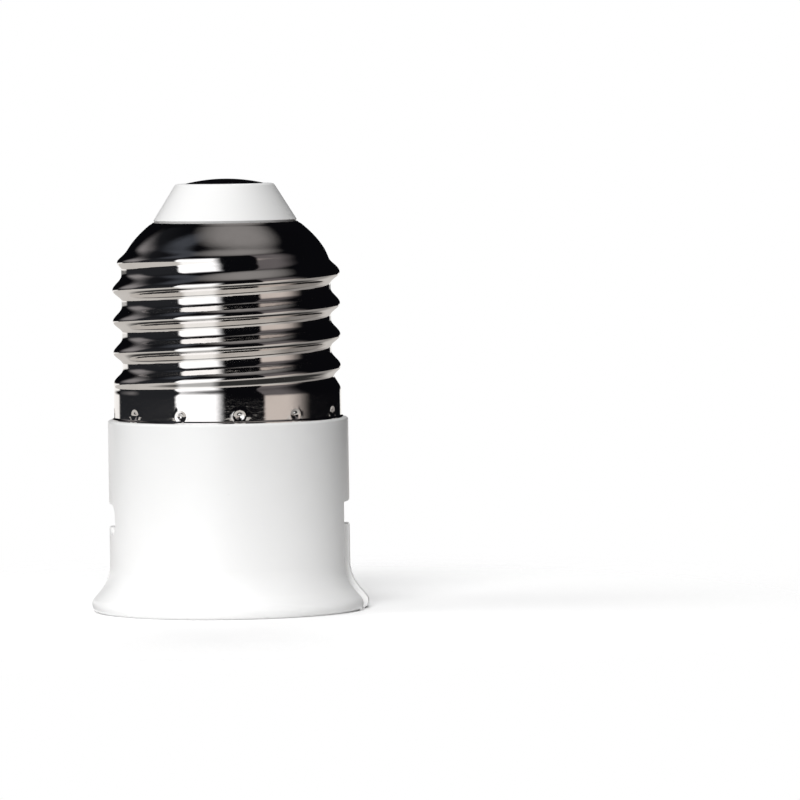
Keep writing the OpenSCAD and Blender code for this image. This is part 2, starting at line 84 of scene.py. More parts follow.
# Meshes
def new_piece(name, points, faces, body, replaced, smooth_below=40):
    """A mesh piece from points in millimetres, riding on a body and standing for CAD nodes."""
    mesh = bpy.data.meshes.new(name)
    mesh.from_pydata([Vector(p) * MM for p in points], [], faces)
    mesh.validate()
    bm = bmesh.new()
    bm.from_mesh(mesh)
    bmesh.ops.recalc_face_normals(bm, faces=bm.faces)
    for edge in bm.edges:
        edge.smooth = edge.is_manifold and degrees(edge.calc_face_angle(0)) < smooth_below
    for face in bm.faces:
        face.smooth = True
    bm.to_mesh(mesh)
    bm.free()
    piece = bpy.data.objects.new(name, mesh)
    bpy.context.collection.objects.link(piece)
    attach(piece, body)
    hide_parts(*replaced)
    return piece


def spread(low, high, count):
    """Even places from low on, up to but without high."""
    return [low + (high - low) * i / count for i in range(count)]


def around(turn, r, z):
    """The point at a radius and a height, turned about the axis by an angle in radians."""
    return r * cos(turn), r * sin(turn), z


def arc(x, z, r, start, end, steps):
    """Points on an arc in an outline, angles in degrees."""
    turns = [radians(start + (end - start) * i / steps) for i in range(steps + 1)]
    return [(x + r * cos(t), z + r * sin(t)) for t in turns]


def ring_faces(rings, sides, loop=False):
    faces = []
    for i in range(rings if loop else rings - 1):
        near, far = i * sides, ((i + 1) % rings) * sides
        for j in range(sides):
            nxt = (j + 1) % sides
            faces.append((near + j, near + nxt, far + nxt, far + j))
    return faces


def turned(outline, sides, y=0.0):
    """Points and faces of an outline of (radius, height) pairs turned about an upright axis."""
    points, rings = [], []
    turns = [2 * pi * j / sides for j in range(sides)]
    for r, z in outline:
        if r < 1e-6:
            rings.append([len(points)])
            points.append((0, y, z))
        else:
            rings.append(list(range(len(points), len(points) + sides)))
            points += [(r * cos(t), y + r * sin(t), z) for t in turns]
    faces = []
    closed = outline[0][0] > 1e-6 and outline[-1][0] > 1e-6
    for a, b in zip(rings, rings[1:] + (rings[:1] if closed else [])):
        if len(a) == 1 and len(b) == 1:
            continue
        for j in range(sides):
            k = (j + 1) % sides
            if len(a) == 1:
                faces.append((a[0], b[k], b[j]))
            elif len(b) == 1:
                faces.append((a[j], a[k], b[0]))
            else:
                faces.append((a[j], a[k], b[k], b[j]))
    return points, faces


# The screw shell: two skins of one sheet, with the rolled thread, the rolled foot and round stake dents
def ease(t):
    t = min(1, max(0, t))
    return t * t * (3 - 2 * t)


def ridge(turn, z):
    """1 on a crest and 0 in a root. A crest falls faster below than above, and a root is round and wide."""
    rise = ((z - CREST_Z - PITCH * (turn - CREST_TURN) / 360) / PITCH + 0.5) % 1 - 0.5
    if rise < -0.5 + ROOT_SHIFT:
        rise += 1
    return (1 + cos(pi * min(1, rise / UPPER_SHARE if rise > 0 else -rise / LOWER_SHARE))) / 2


def shoulder_at(z):
    return max(0, (z - SHOULDER_Z) / SHOULDER_H)


def shoulder_fall(u):
    return (ROOT_R - SHELL_TOP_R) * (SLOPE_SHARE * u + (1 - SLOPE_SHARE) * u * u)


def shoulder_slope(u):
    return (ROOT_R - SHELL_TOP_R) / SHOULDER_H * (SLOPE_SHARE + 2 * (1 - SLOPE_SHARE) * u) if u else 0


def thread_at(turn, z):
    run_in, run_out = ease((z - SKIRT_TOP_Z) / RUN_H), 1 - ease((z - RIDGE_END_Z) / RUN_H)
    return THREAD_DEPTH * run_out * (1 - run_in * (1 - ridge(turn, z)))


def foot_at(z):
    return FOOT_FLARE * (1 - ease((z - BODY_H - FOOT_EDGE_H) / FOOT_FADE_H))


def dent_at(turn, z):
    sector = 360 / STAKES
    off = (turn - STAKE_TURN + sector / 2) % sector - sector / 2
    d = hypot(radians(off) * THREAD_R, z - BODY_H - STAKE_Z) / DENT_REACH
    if d < 1:
        return STAKE_DEPTH * (0.5 + 0.5 * cos(pi * d))
    return -RING_RISE * sin(pi * (d - 1) / RING_W) if d < 1 + RING_W else 0


def shell_r(turn, z):
    return ROOT_R - shoulder_fall(shoulder_at(z)) + thread_at(turn, z) + foot_at(z) - dent_at(turn, z)


def inner_r(turn, z):
    return shell_r(turn, z) - SHEET * hypot(1, shoulder_slope(shoulder_at(z)))


def make_screw_shell():
    dense, sparse = 18, 14  # columns across a stake mark, and between two
    reach = 3.9  # degrees of dense columns on either side of a stake mark
    foot_end_z, stakes_end_z = BODY_H + 0.22, BODY_H + 1.5
    thread_end_z, bend_z = RIDGE_END_Z + RUN_H, SHELL_TOP_Z - 0.12
    sector = 360 / STAKES
    turns = []
    for i in range(STAKES):
        middle = STAKE_TURN + sector * i
        turns += spread(middle - reach, middle + reach, dense)
        turns += spread(middle + reach, middle + sector - reach, sparse)
    heights = spread(BODY_H, foot_end_z, 6) + spread(foot_end_z, stakes_end_z, 18)
    heights += spread(stakes_end_z, SKIRT_TOP_Z, 6) + spread(SKIRT_TOP_Z, thread_end_z, 118)
    heights += spread(thread_end_z, bend_z, 16)
    rows = [[(shell_r(turn, z), z) for turn in turns] for z in heights]
    edge = [(SHELL_TOP_R + 0.06, bend_z), (SHELL_TOP_R, SHELL_TOP_Z - 0.04),
            (SHELL_TOP_R - 0.08, SHELL_TOP_Z), (OPENING_R + 0.05, SHELL_TOP_Z),
            (OPENING_R, SHELL_TOP_Z - 0.05), (OPENING_R, SHELL_TOP_Z - SHEET)]
    rows += [[point] * len(turns) for point in edge]
    inside = heights[::-3] + [BODY_H + 0.1]
    rows += [[(inner_r(turn, z), z) for turn in turns] for z in inside if z < SHELL_TOP_Z - SHEET - 0.1]
    rows += [[(inner_r(turn, BODY_H) + 0.05, BODY_H) for turn in turns]]
    points = [around(radians(t), r, z) for row in rows for (r, z), t in zip(row, turns)]
    return new_piece("screw_shell_rolled", points, ring_faces(len(rows), len(turns), loop=True),
                     "adapter", ["screw_shell"], smooth_below=60)


screw_shell = make_screw_shell()


# The housing: its section turned about the axis, with the two J slots let through the wall.
# A place along the wall is v: under 0 down the bore, then over the mouth, then up the outside.
SOFT = 0.16  # mm, how far a slot's edges are softened
SOFT_STEPS = 3
MOUTH_EDGE_R = FLANGE_R - RIM_R + sqrt(RIM_R ** 2 - RIM_Z ** 2)
MOUTH_W = MOUTH_EDGE_R - MOUTH_R
FLARE_TURN = atan2(FLARE_H - RIM_Z, BODY_R + FLARE_R - FLANGE_R + RIM_R) - acos(
    (RIM_R + FLARE_R) / hypot(FLARE_H - RIM_Z, BODY_R + FLARE_R - FLANGE_R + RIM_R))
COLUMNS = 144
STEP = 360 / COLUMNS
LOW, HIGH = -14, 5  # the columns that bound the patch round a slot
MM_PER_DEGREE = 0.24  # for laying the wall out flat
CREASE_GAP, OPEN_GAP = 0.12, 0.42  # mm that the patch's own points keep from a slot, on a crease and off it
CREASES = (-LEAD_IN_H, 0, MOUTH_W)
KEY_COLUMNS = 3  # columns on either side of a key notch's middle
SMOOTH_TURN = 0.5  # radians, under which two neighbouring faces of a slot's sides shade as one


def outside(z):
    """Radius and normal of the rim, the flare and the body at a height."""
    if z <= RIM_Z + RIM_R * sin(FLARE_TURN):
        r = sqrt(RIM_R ** 2 - min(RIM_Z, RIM_Z - z) ** 2)
        return FLANGE_R - RIM_R + r, (r / RIM_R, (z - RIM_Z) / RIM_R)
    if z < FLARE_H - FLARE_R * sin(FLARE_TURN):
        over_rim = z - RIM_Z - RIM_R * sin(FLARE_TURN)
        r = FLANGE_R - RIM_R + RIM_R * cos(FLARE_TURN) - over_rim * tan(FLARE_TURN)
        return r, (cos(FLARE_TURN), sin(FLARE_TURN))
    if z < FLARE_H:
        r = sqrt(FLARE_R ** 2 - (FLARE_H - z) ** 2)
        return BODY_R + FLARE_R - r, (r / FLARE_R, (FLARE_H - z) / FLARE_R)
    return BODY_R, (1, 0)


def wall_at(v):
    """Radius, height and normal at a place along the wall."""
    if v < -LEAD_IN_H:
        return BORE_R, -v, (-1, 0)
    if v < 0:
        lean = atan2(MOUTH_R - BORE_R, LEAD_IN_H)
        return MOUTH_R + (MOUTH_R - BORE_R) * v / LEAD_IN_H, -v, (-cos(lean), -sin(lean))
    if v < MOUTH_W:
        return MOUTH_R + v, 0, (0, -1)
    r, normal = outside(v - MOUTH_W)
    return r, v - MOUTH_W, normal


def on_wall(turn, v, depth=0.0):
    """A point on the wall, or under it by depth, with its normal. At an edge it stays under both faces."""
    r, z, n = wall_at(v)
    m = wall_at(v - 0.001)[2]
    turn = radians(turn)
    share = depth / (1 + n[0] * m[0] + n[1] * m[1])
    r, z = r - (n[0] + m[0]) * share, z - (n[1] + m[1]) * share
    return Vector(around(turn, r, z)), Vector(around(turn, n[0] + m[0], n[1] + m[1])).normalized()


def slot_outline(spare, side):
    """A J slot's outline, wider all round by spare, as angles and places along the wall.

    It runs from the mouth up one side, along the channel, round the pocket and down the other side.
    The side is 1 outside and -1 in the bore.
    """
    def at(off, z, base):
        v = z + MOUTH_W if side > 0 else -z
        return base + degrees(asin(off / wall_at(v)[0])), v

    half, low, high = SLOT_W / 2 + spare, CHANNEL_Z - spare, CHANNEL_Z + CHANNEL_H + spare
    end_r, pocket_r, end_z = CHANNEL_H / 2 + spare, POCKET_R + spare, CHANNEL_Z + CHANNEL_H / 2
    up = [0, 0.25, 0.5, 0.85, 1.25, 1.7, 2.3, 3.0, 3.6, 4.2, 4.8, 5.4, 6.3, 7.2, 8.1, 9.0]
    made = [at(-half, z, -SLOT_TURN) for z in up + [10, 11, 12, high]]
    first = made[-1]
    made += [(first[0] * (1 - i / 8), first[1]) for i in range(1, 8)]
    meet_z = POCKET_Z + ((end_z - POCKET_Z) ** 2 + pocket_r ** 2 - end_r ** 2) / (2 * (end_z - POCKET_Z))
    last = asin((meet_z - end_z) / end_r)
    for i in range(9):
        a = pi / 2 + (last - pi / 2) * i / 8
        made.append(at(end_r * cos(a), end_z + end_r * sin(a), 0))
    start, stop = asin((meet_z - POCKET_Z) / pocket_r), asin((POCKET_Z - low) / pocket_r) - pi
    for i in range(1, 21):
        a = start + (stop - start) * i / 20
        made.append(at(pocket_r * cos(a), POCKET_Z + pocket_r * sin(a), 0))
    edge, corner = made[-1], at(half, low, -SLOT_TURN)
    made += [(edge[0] + (corner[0] - edge[0]) * i / 4, corner[1]) for i in range(1, 4)]
    return made + [corner] + [at(half, z, -SLOT_TURN) for z in up[::-1]]


def slot_loop(spare):
    """A slot's whole edge: the outside, two points across the mouth, the bore and two points back."""
    outer, inner = slot_outline(spare, 1), slot_outline(spare, -1)[::-1]

    def across(a, b):
        return [(a[0] + (b[0] - a[0]) * s, a[1] + (b[1] - a[1]) * s) for s in (1 / 3, 2 / 3)]

    return outer + across(outer[-1], inner[0]) + inner + across(inner[-1], outer[0])


def within(point, loop):
    """Whether a point lies in a closed outline."""
    hit = False
    for (x0, y0), (x1, y1) in zip(loop, loop[1:] + loop[:1]):
        if (y0 > point[1]) != (y1 > point[1]) and point[0] < x0 + (x1 - x0) * (point[1] - y0) / (y1 - y0):
            hit = not hit
    return hit


def gap_to(point, loop):
    """The distance from a point to a closed outline."""
    p, best = Vector(point), 99
    for a, b in zip(loop, loop[1:] + loop[:1]):
        a, b = Vector(a), Vector(b)
        t = max(0, min(1, (p - a).dot(b - a) / max(1e-12, (b - a).length_squared)))
        best = min(best, (a + (b - a) * t - p).length)
    return best


def wall_rows():
    """The places along the wall, from the guide's top in the bore to the same height outside."""
    rim = [RIM_Z + RIM_R * sin(t) for t in spread(-asin(RIM_Z / RIM_R), FLARE_TURN, 9)]
    flare = [FLARE_H - FLARE_R * sin(t) for t in spread(FLARE_TURN, 0, 12)]
    tall = [FLARE_H, 6.3, 7.5, 8.7, 9.9, 11.1, 12.2, GUIDE_TOP]
    outer = [z + MOUTH_W for z in rim + [RIM_Z + RIM_R * sin(FLARE_TURN)] + flare + tall]
    outer[0] = MOUTH_W
    bore = [-z for z in (GUIDE_TOP, 12.2, 11.1, 9.9, 8.7, 7, 5, LEAD_IN_H, 2, 1)]
    return bore + [0, MOUTH_W / 3, MOUTH_W * 2 / 3] + outer


ROWS = wall_rows()
ENDS = (0, len(ROWS) - 1)
EDGE_LOOP = slot_loop(SOFT)
FLAT_LOOP = [(turn * MM_PER_DEGREE, v) for turn, v in EDGE_LOOP]
OUTER_COUNT = len(EDGE_LOOP) // 2 - 2  # the loop's points outside, and as many in the bore


class Skin:
    """The housing's points and faces. A face has a normal for each corner, or none of its own."""

    def __init__(self):
        self.points, self.faces, self.normals = [], [], []

    def add(self, point):
        self.points.append(point)
        return len(self.points) - 1

    def face(self, ids, normals=None):
        self.faces.append(ids)
        self.normals.append(normals)

    def wall_face(self, ids, places, middle):
        """A face with the wall's normals at its corners, as seen from its middle at an edge of the wall."""
        normals = []
        for turn, v in places:
            n = wall_at(v + (middle - v) * 0.01)[2]
            normals.append(Vector(around(radians(turn), *n)))
        self.face(ids, normals)


def lay_wall(skin):
    """The wall away from the slots. It gives the grid of points that the patches and the rest join."""
    covered = {(c + half) % COLUMNS for half in (0, COLUMNS // 2) for c in range(LOW + 1, HIGH)}
    grid = [[None] * COLUMNS for _ in ROWS]
    for i, v in enumerate(ROWS):
        for c in range(COLUMNS):
            if c not in covered or i in ENDS:
                grid[i][c] = skin.add(on_wall(c * STEP, v)[0])
    for i, (v, w) in enumerate(zip(ROWS, ROWS[1:])):
        for c in range(COLUMNS):
            d = (c + 1) % COLUMNS
            if c in covered or d in covered:
                continue
            skin.wall_face((grid[i][c], grid[i][d], grid[i + 1][d], grid[i + 1][c]),
                           ((c * STEP, v), (d * STEP, v), (d * STEP, w), (c * STEP, w)), (v + w) / 2)
    return grid


def lay_patch(skin, grid, half):
    """The wall round a slot, filled with triangles as it lies flat. It gives the ids of the slot's edge."""
    shift = round(half / STEP)
    spots = list(EDGE_LOOP)
    ids = [skin.add(on_wall(turn + half, v)[0]) for turn, v in spots]
    edges = [(i, (i + 1) % len(spots)) for i in range(len(spots))]
    held = {}
    for i, v in enumerate(ROWS):
        gap = CREASE_GAP if v in CREASES else OPEN_GAP
        for c in range(LOW, HIGH + 1):
            border = c in (LOW, HIGH) or i in ENDS
            flat = (c * STEP * MM_PER_DEGREE, v)
            if not border and (within(flat, FLAT_LOOP) or gap_to(flat, FLAT_LOOP) < gap):
                continue
            held[i, c] = len(spots)
            spots.append((c * STEP, v))
            shared = grid[i][(c + shift) % COLUMNS]
            ids.append(shared if border else skin.add(on_wall(c * STEP + half, v)[0]))
    edges += [(held[i, c], held[i, c + 1]) for c in range(LOW, HIGH) for i in ENDS]
    edges += [(held[i, c], held[i + 1, c]) for c in (LOW, HIGH) for i in range(ENDS[1])]
    for v in CREASES:
        row = sorted((spots[k][0], k) for k in range(len(spots)) if abs(spots[k][1] - v) < 1e-6)
        edges += [(a, b) for (_, a), (_, b) in zip(row, row[1:]) if max(a, b) >= len(EDGE_LOOP)]
    flat = [Vector((turn * MM_PER_DEGREE, v)) for turn, v in spots]
    _, _, cells, origin, _, _ = delaunay_2d_cdt(flat, edges, [], 0, 1e-7)
    for cell in cells:
        cell = [origin[k][0] for k in cell]
        middle = sum((flat[k] for k in cell), Vector((0, 0))) / 3
        if not within(middle, FLAT_LOOP):
            skin.wall_face(tuple(ids[k] for k in cell), [(spots[k][0] + half, spots[k][1]) for k in cell],
                           middle.y)
    return ids[:len(EDGE_LOOP)]


def soften_edge(skin, edge_ids, half):
    """Rings from the wall's face down to the slot's own sides. It gives the ids of the last one."""
    sides = []
    for (turn, v), (slot_turn, slot_v) in zip(EDGE_LOOP, slot_loop(0)):
        here, n = on_wall(turn + half, v)
        sides.append((n, (on_wall(slot_turn + half, slot_v)[0] - here).normalized()))
    rings = [edge_ids]
    angles = [pi / (2 * SOFT_STEPS) * k for k in range(SOFT_STEPS + 1)]
    for a in angles[1:]:
        loop = slot_loop(SOFT * (1 - sin(a)))
        rings.append([skin.add(on_wall(turn + half, v, SOFT * (1 - cos(a)))[0]) for turn, v in loop])
    for near, far, a, b in zip(rings, rings[1:], angles, angles[1:]):
        for j in range(len(near)):
            m = (j + 1) % len(near)
            skin.face((near[j], near[m], far[m], far[j]),
                      [sides[q][0] * cos(w) + sides[q][1] * sin(w)
                       for q, w in ((j, a), (m, a), (m, b), (j, b))])
    return rings[-1]


def lay_sides(skin, deep):
    """A slot's own sides, from the last ring's outer half across to its inner half."""
    points, strips = skin.points, []
    for j in range(OUTER_COUNT):
        out_id, in_id = deep[j], deep[2 * OUTER_COUNT + 1 - j]
        if j == 0:
            strips.append([out_id, deep[-1], deep[-2], in_id])
        elif j == OUTER_COUNT - 1:
            strips.append([out_id, deep[OUTER_COUNT], deep[OUTER_COUNT + 1], in_id])
        else:
            a, b = points[out_id], points[in_id]
            strips.append([out_id, skin.add(a + (b - a) / 3), skin.add(a + (b - a) * 2 / 3), in_id])
    flats = [(points[t[0]] - points[s[0]]).cross(points[s[3]] - points[s[0]]).normalized()
             for s, t in zip(strips, strips[1:])]
    for j, (s, t) in enumerate(zip(strips, strips[1:])):
        ends = []
        for near in (j - 1, j + 1):
            other = flats[near] if 0 <= near < len(flats) else flats[j]
            smooth = flats[j].angle(other) < SMOOTH_TURN
            ends.append((flats[j] + other).normalized() if smooth else flats[j])
        for q in range(3):
            skin.face((s[q], t[q], t[q + 1], s[q + 1]), [ends[0], ends[1], ends[1], ends[0]])


def off_key(c):
    """How many columns a column stands from the middle of the nearest key notch."""
    return (c + KEY_COLUMNS) % (COLUMNS // 2) - KEY_COLUMNS


def lay_rest(skin, grid):
    """The plain rest: body, top edge, neck with its groove and key notches, lip, ledge and bore."""
    groove_r, groove_low, groove_high = NECK_R - GROOVE_DEPTH, BODY_H + GROOVE_LOW, BODY_H + GROOVE_HIGH
    rest = [(BODY_R, z) for z in (16, 19, BODY_H - 0.42)]
    rest += arc(BODY_R - TOP_EDGE_R, BODY_H - TOP_EDGE_R, TOP_EDGE_R, 0, 90, 6)
    rest += [(BODY_R - 0.4, BODY_H), (NECK_R, BODY_H), (NECK_R, groove_low),
             (groove_r, groove_low), (groove_r, groove_high), (NECK_R, groove_high),
             (NECK_R, NECK_TOP_Z - KEY_DEPTH), (NECK_R, NECK_TOP_Z), (KEY_R, NECK_TOP_Z),
             (LIP_R + 0.1, NECK_TOP_Z), (LIP_R, NECK_TOP_Z - 0.1), (LIP_R, LEDGE_Z + 0.1), (LIP_R, LEDGE_Z),
             (BORE_END_R, LEDGE_Z), (BORE_END_R + 0.05, 20), (BORE_END_R + 0.1, 16.5)]
    notch = rest.index((NECK_R, NECK_TOP_Z))
    reach = degrees(asin(KEY_HALF_W / NECK_R))
    bands = [grid[-1]]
    for i, (r, z) in enumerate(rest):
        band = []
        for c in range(COLUMNS):
            turn, off = c * STEP, off_key(c)
            if abs(off) == KEY_COLUMNS and notch - 1 <= i <= notch + 1:
                turn += copysign(reach, off) - off * STEP
            band.append(skin.add(Vector(around(radians(turn), r, z))))
        bands.append(band)
    bands.append(grid[0])
    cut = {}
    for c in range(COLUMNS):
        if abs(off_key(c)) <= KEY_COLUMNS:
            at = skin.points[bands[notch + 1][c]]
            inner = Vector((at.x, at.y, 0)).normalized() * KEY_R
            cut[c] = skin.add(Vector((inner.x, inner.y, NECK_TOP_Z - KEY_DEPTH)))
    for i, (band, nxt) in enumerate(zip(bands, bands[1:])):
        for c in range(COLUMNS):
            d = (c + 1) % COLUMNS
            near, far = (band[c], band[d]), (nxt[d], nxt[c])
            if c in cut and d in cut and i == notch:
                far = (cut[d], cut[c])
            if c in cut and d in cut and i == notch + 1:
                near = (cut[c], cut[d])
            skin.face((*near, *far))
    for c in cut:
        if (c + 1) % COLUMNS not in cut or (c - 1) % COLUMNS not in cut:
            skin.face((bands[notch][c], bands[notch + 1][c], bands[notch + 2][c], cut[c]))


def set_normals(piece, skin):
    """Gives each face's corners the normals worked out for them, or Blender's own where there are none."""
    held = []
    for polygon, face, given in zip(piece.data.polygons, skin.faces, skin.normals):
        corner = dict(zip(face, given)) if given else {}
        for vertex in polygon.vertices:
            normal = corner.get(vertex, Vector((0, 0, 0)))
            held.append(-normal if normal.length and normal.dot(polygon.normal) < 0 else normal)
    piece.data.normals_split_custom_set(held)


def make_housing():
    skin = Skin()
    grid = lay_wall(skin)
    for half in (0, 180):
        edge_ids = lay_patch(skin, grid, half)
        lay_sides(skin, soften_edge(skin, edge_ids, half))
    lay_rest(skin, grid)
    made = new_piece("housing_moulding", skin.points, skin.faces, "adapter", ["housing"],
                     smooth_below=32)
    set_normals(made, skin)
    return made


housing = make_housing()


# The tip: insulating cone and domed contact
def make_tip():
    lean = degrees(atan2(CONE_BASE_R - CONE_TOP_R, CONE_H - 0.25))
    bore_r, web_z = SPIGOT_R - CONE_WALL, CONTACT_SEAT_Z - WEB_H
    cone = [(bore_r, SHELL_TOP_Z - SPIGOT_L), (SPIGOT_END_R, SHELL_TOP_Z - SPIGOT_L),
            (BEAD_R, SHELL_TOP_Z - 0.75), (BEAD_R, SHELL_TOP_Z - 0.4), (SPIGOT_R, SHELL_TOP_Z - 0.4),
            (SPIGOT_R, SHELL_TOP_Z), (CONE_BASE_R - 0.125, SHELL_TOP_Z), (CONE_BASE_R, SHELL_TOP_Z + 0.25)]
    cone += arc(CONE_TOP_R - CONE_EDGE_R / 2, CONE_TOP_Z - CONE_EDGE_R, CONE_EDGE_R, lean, 90, 10)
    cone += [(CONTACT_R + 0.12, CONE_TOP_Z), (CONTACT_R + CONTACT_PLAY, CONE_TOP_Z - 0.07),
             (CONTACT_R + CONTACT_PLAY, CONTACT_SEAT_Z), (STEM_R + CONTACT_PLAY, CONTACT_SEAT_Z),
             (STEM_R + CONTACT_PLAY, web_z), (CONE_TOP_R - CONE_WALL, web_z), (bore_r, SHELL_TOP_Z)]
    points, faces = turned(cone, 192)
    insulator = new_piece("tip_insulator_moulding", points, faces, "adapter",
                          ["tip_insulator"], smooth_below=35)
    dome_r = (CONTACT_R ** 2 + DOME_H ** 2) / (2 * DOME_H)
    dome_turn = degrees(asin(CONTACT_R / dome_r))
    disc = arc(0, CONE_TOP_Z + DOME_H - dome_r, dome_r, 90, 90 - dome_turn + 0.8, 14)
    disc[0] = (0, CONE_TOP_Z + DOME_H)
    disc += [(CONTACT_R, CONE_TOP_Z - 0.06), (CONTACT_R, CONTACT_SEAT_Z), (STEM_R, CONTACT_SEAT_Z),
             (STEM_R, web_z), (RIVET_R, web_z), (RIVET_R, web_z - 0.22), (RIVET_R - 0.15, web_z - RIVET_H),
             (STEM_R, web_z - RIVET_H), (STEM_R, STEM_END_Z + 0.15), (STEM_R - 0.15, STEM_END_Z),
             (0, STEM_END_Z)]
    points, faces = turned(disc, 128)
    contact = new_piece("centre_contact_disc", points, faces, "adapter",
                        ["centre_contact"], smooth_below=35)
    return insulator, contact


tip_insulator, centre_contact = make_tip()


# The plungers and their springs
def make_plunger(letter, side):
    tip = [(0, TIP_Z), (0.9, TIP_Z), (TIP_FLAT_R, TIP_Z + 0.01)]
    for turn in range(9, 91, 9):
        a = radians(turn)
        tip.append((TIP_FLAT_R + (PLUNGER_R - TIP_FLAT_R) * sin(a), TIP_Z + TIP_ROUND_H * (1 - cos(a))))
    tip += [(PLUNGER_R, SEAT_Z - 0.1), (PLUNGER_R, SEAT_Z), (COLLAR_R - TURNED_EDGE, SEAT_Z),
            (COLLAR_R, SEAT_Z + TURNED_EDGE), (COLLAR_R, COLLAR_TOP_Z - TURNED_EDGE),
            (COLLAR_R - TURNED_EDGE, COLLAR_TOP_Z), (TAIL_R + 0.06, COLLAR_TOP_Z),
            (TAIL_R, COLLAR_TOP_Z + 0.06), (TAIL_R, COLLAR_TOP_Z + TAIL_H - 0.3),
            (TAIL_R - 0.3, COLLAR_TOP_Z + TAIL_H), (0, COLLAR_TOP_Z + TAIL_H)]
    points, faces = turned(tip, 96, y=side * CONTACT_Y)
    return new_piece(f"plunger_{letter}_turned", points, faces, f"contact_{letter}",
                     [f"plunger_{letter}"], smooth_below=35)


def coil_z(turns, low, high):
    """The wire's height after some turns. The first and the last turn lie closed."""
    closed = min(turns, 1) + max(0, turns - COILS + 1)
    coiled = min(max(turns - 1, 0), COILS - 2)
    return low + WIRE_D * closed + (high - low - 2 * WIRE_D) * coiled / (COILS - 2)


def make_spring(letter, side):
    steps, sides = 40, 12
    low, high = COLLAR_TOP_Z + WIRE_D / 2, TUBE_TOP_Z - WIRE_D / 2
    points = []
    count = int(COILS * steps) + 1
    for i in range(count):
        a, z = 2 * pi * i / steps, coil_z(i / steps, low, high)
        for j in range(sides):
            b = 2 * pi * j / sides
            r = SPRING_MEAN_R + WIRE_D / 2 * cos(b)
            points.append((side * r * cos(a), side * (CONTACT_Y + r * sin(a)), z + WIRE_D / 2 * sin(b)))
    faces = ring_faces(count, sides)
    faces += [tuple(range(sides)), tuple(range(len(points) - sides, len(points)))]
    spring = new_piece(f"spring_{letter}_wire", points, faces, "adapter",
                       [f"spring_{letter}"])
    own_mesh(spring)
    return spring


plungers = [make_plunger("a", 1), make_plunger("b", -1)]
springs = [make_spring("a", 1), make_spring("b", -1)]


# Shader nodes: a socket that plain arithmetic works on, and one method that makes any node
class Wire:
    def __init__(self, graph, socket):
        self.graph, self.socket = graph, socket

    def maths(self, operation, *others):
        return self.graph.node("Math", {"operation": operation}, dict(enumerate((self, *others))))

    def __add__(self, other):
        return self.maths("ADD", other)

    def __mul__(self, other):
        return self.maths("MULTIPLY", other)

    def __truediv__(self, other):
        return self.maths("DIVIDE", other)

    def __rsub__(self, other):
        return self * -1 + other

    __radd__ = __add__

    def length(self):
        return self.graph.node("VectorMath", {"operation": "LENGTH"}, {0: self}, "Value")

    def dot(self, way):
        return self.graph.node("VectorMath", {"operation": "DOT_PRODUCT"}, {0: self, 1: way}, "Value")

    def angle(self, along):
        """The angle in degrees that has this for its rise and the other for its run."""
        return self.maths("ARCTAN2", along) * (180 / pi)

    def above(self, low, high):
        """0 below low, 1 above high, smooth between."""
        return self.graph.node("MapRange", {"interpolation_type": "SMOOTHSTEP"}, {0: self, 1: low, 2: high})

    def below(self, low, high):
        """1 below low, 0 above high, smooth between."""
        return 1 - self.above(low, high)

    def between(self, start, end, soft):
        """1 from start to end, with both edges spread by soft."""
        return self.above(start - soft, start + soft) * self.below(end - soft, end + soft)


class Graph:
    """The nodes of a material or of the world."""

    def __init__(self, tree):
        self.tree = tree

    def feed(self, slot, value):
        if isinstance(value, Wire):
            self.tree.links.new(value.socket, slot)
        else:
            slot.default_value = (*value, 1) if slot.type == "RGBA" and len(value) == 3 else value

    def node(self, kind, settings, values, output=0):
        """A new node's output. The values and links are given by the names or numbers of the sockets."""
        made = self.tree.nodes.new(f"ShaderNode{kind}")
        for key, value in settings.items():
            setattr(made, key, value)
        for key, value in values.items():
            self.feed(made.inputs[key], value)
        return Wire(self, made.outputs[output])

    def mix(self, factor, a, b):
        return self.node("Mix", {"data_type": "RGBA"}, {0: factor, 6: a, 7: b}, 2)


class Paint(Graph):
    """A material round one Principled shader, with the nodes that feed it."""

    def __init__(self, name):
        self.material = bpy.data.materials.new(name)
        self.material.use_nodes = True
        super().__init__(self.material.node_tree)
        self.shader = self.tree.nodes["Principled BSDF"]

    def set(self, values):
        for key, value in values.items():
            self.feed(self.shader.inputs[key], value)

    def place(self):
        """The point on the piece, in metres."""
        return self.node("TexCoord", {}, {}, "Object")

    def noise(self, scale, detail, stretch=None):
        point = self.place()
        if stretch:
            point = self.node("Mapping", {}, {"Vector": point, "Scale": stretch})
        return self.node("TexNoise", {}, {"Vector": point, "Scale": scale, "Detail": detail}, "Fac")

    def bump(self, height, strength, distance):
        return self.node("Bump", {}, {"Height": height, "Strength": strength, "Distance": distance})


PLASTIC_RELIEF, METAL_RELIEF = 0.00002, 0.00001  # metres, the depth of the grain


def plastic(name, colour, roughness, grain):
    paint = Paint(name)
    mottle, fine = paint.noise(160, 4), paint.noise(2600, 2)
    scuff = paint.noise(700, 3, stretch=(1, 1, 0.15)).above(0.6, 0.75)
    paint.set({"Base Color": paint.mix(mottle.above(0.25, 0.8), colour, [c * 0.985 for c in colour]),
               "Roughness": roughness + mottle * 0.05 + scuff * 0.05, "IOR": 1.5,
               "Normal": paint.bump(fine * 0.5 + mottle * 2, grain, PLASTIC_RELIEF)})
    return paint.material


